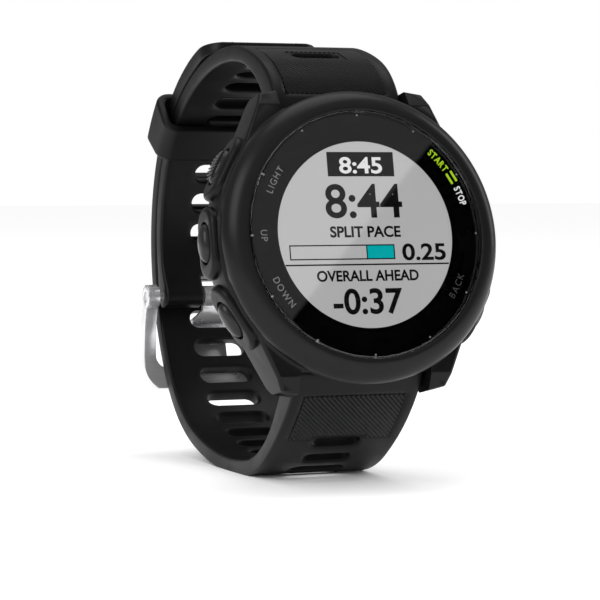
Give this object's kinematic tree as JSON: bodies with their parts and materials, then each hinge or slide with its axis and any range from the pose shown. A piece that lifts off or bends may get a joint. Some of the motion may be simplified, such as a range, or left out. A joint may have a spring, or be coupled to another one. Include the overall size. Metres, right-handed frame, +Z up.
{
  "type": "gps running watch",
  "caption": "Round sports watch with a flat display, side push buttons and a slotted silicone strap buckled in a loop, standing on the strap.",
  "frame": {"origin": "middle of the bounding box footprint, at the height of the surface the watch stands on", "axes": "+X towards the wearer's 3 o'clock side, +Y from the face towards the buckle, +Z up; the face looks towards -Y and leans back 11.45 degrees about X"},
  "size_m": [0.0434, 0.0692, 0.0644],
  "materials": {
    "bezel": "satin",
    "case": "fine matt texture",
    "cover": "matt",
    "lens": "polished",
    "seal": "matt",
    "mask": "gloss black print",
    "display": "pale grey panel",
    "guide": "clear",
    "steel_sheet": "rolled",
    "antenna": "plated carrier",
    "steel": "fine brushed",
    "window": "dark polished",
    "gold": "plated",
    "board": "solder mask",
    "chip": "matt",
    "battery": "wrapped foil",
    "flex": "film",
    "led": "clear",
    "silicone": "matt silicone",
    "button": "satin"
  },
  "bodies": {
    "watch": {"bezel_ring": "bezel", "mid_case": "case", "lens": "lens", "lens_gasket": "seal", "dial_mask": "mask", "display_panel": "display", "backlight_guide": "guide", "display_carrier": "cover", "gps_antenna": "antenna", "back_cover": "cover", "back_cover_screws": "steel", "case_seal": "seal", "sensor_window": "window", "charging_port_block": "case", "charging_contacts": "gold", "main_board": "board", "shield_can": "steel_sheet", "board_chips": "chip", "battery_cell": "battery", "vibration_motor": "steel_sheet", "sounder": "gold", "switch_flex": "flex", "tact_switches": "chip", "sensor_board": "board", "sensor_leds": "led", "photodiode": "chip", "light_button_seal": "seal", "up_button_seal": "seal", "down_button_seal": "seal", "start_stop_button_seal": "seal", "back_button_seal": "seal", "upper_strap": "silicone", "lower_strap": "silicone", "upper_spring_bar": "steel", "upper_release_spring": "steel", "lower_spring_bar": "steel", "lower_release_spring": "steel", "buckle_pin": "steel"},
    "light_button": {"light_button": "button", "light_button_clip": "steel"},
    "up_button": {"up_button": "button", "up_button_clip": "steel"},
    "down_button": {"down_button": "button", "down_button_clip": "steel"},
    "start_stop_button": {"start_stop_button": "button", "start_stop_button_clip": "steel"},
    "back_button": {"back_button": "button", "back_button_clip": "steel"},
    "upper_release": {"upper_release_pin": "steel"},
    "lower_release": {"lower_release_pin": "steel"},
    "buckle_frame": {"buckle_frame": "steel"},
    "buckle_tongue": {"buckle_tongue": "steel"},
    "keeper": {"keeper_loop": "silicone"}
  },
  "joints": [
    {"name": "light_press", "type": "slide", "parent": "watch", "child": "light_button", "axis": [0.866, -0.0993, -0.49], "range_m": [0, 0.00045], "stiffness_N_per_m": 800, "springref_m": -0.0005},
    {"name": "up_press", "type": "slide", "parent": "watch", "child": "up_button", "axis": [1, 0, 0], "range_m": [0, 0.00045], "stiffness_N_per_m": 800, "springref_m": -0.0005},
    {"name": "down_press", "type": "slide", "parent": "watch", "child": "down_button", "axis": [0.866, 0.0993, 0.49], "range_m": [0, 0.00045], "stiffness_N_per_m": 800, "springref_m": -0.0005},
    {"name": "start_stop_press", "type": "slide", "parent": "watch", "child": "start_stop_button", "axis": [-0.866, -0.0993, -0.49], "range_m": [0, 0.00045], "stiffness_N_per_m": 800, "springref_m": -0.0005},
    {"name": "back_press", "type": "slide", "parent": "watch", "child": "back_button", "axis": [-0.866, 0.0993, 0.49], "range_m": [0, 0.00045], "stiffness_N_per_m": 800, "springref_m": -0.0005},
    {"name": "upper_release_slide", "type": "slide", "parent": "watch", "child": "upper_release", "axis": [1, 0, 0], "range_m": [0, 0.0012], "stiffness_N_per_m": 300, "springref_m": -0.001},
    {"name": "lower_release_slide", "type": "slide", "parent": "watch", "child": "lower_release", "axis": [1, 0, 0], "range_m": [0, 0.0012], "stiffness_N_per_m": 300, "springref_m": -0.001},
    {"name": "frame_hinge", "type": "hinge", "parent": "watch", "child": "buckle_frame", "pos_m": [0.0007, 0.02859, 0.02456], "axis": [1, 0, 0], "range_deg": [0, 7]},
    {"name": "tongue_hinge", "type": "hinge", "parent": "buckle_frame", "child": "buckle_tongue", "pos_m": [0.0007, 0.02859, 0.02456], "axis": [1, 0, 0], "range_deg": [0, 3.5]},
    {"name": "keeper_travel", "type": "hinge", "parent": "watch", "child": "keeper", "pos_m": [0.0007, 0.00437, 0.03365], "axis": [1, 0, 0], "range_deg": [-5, 5]}
  ]
}
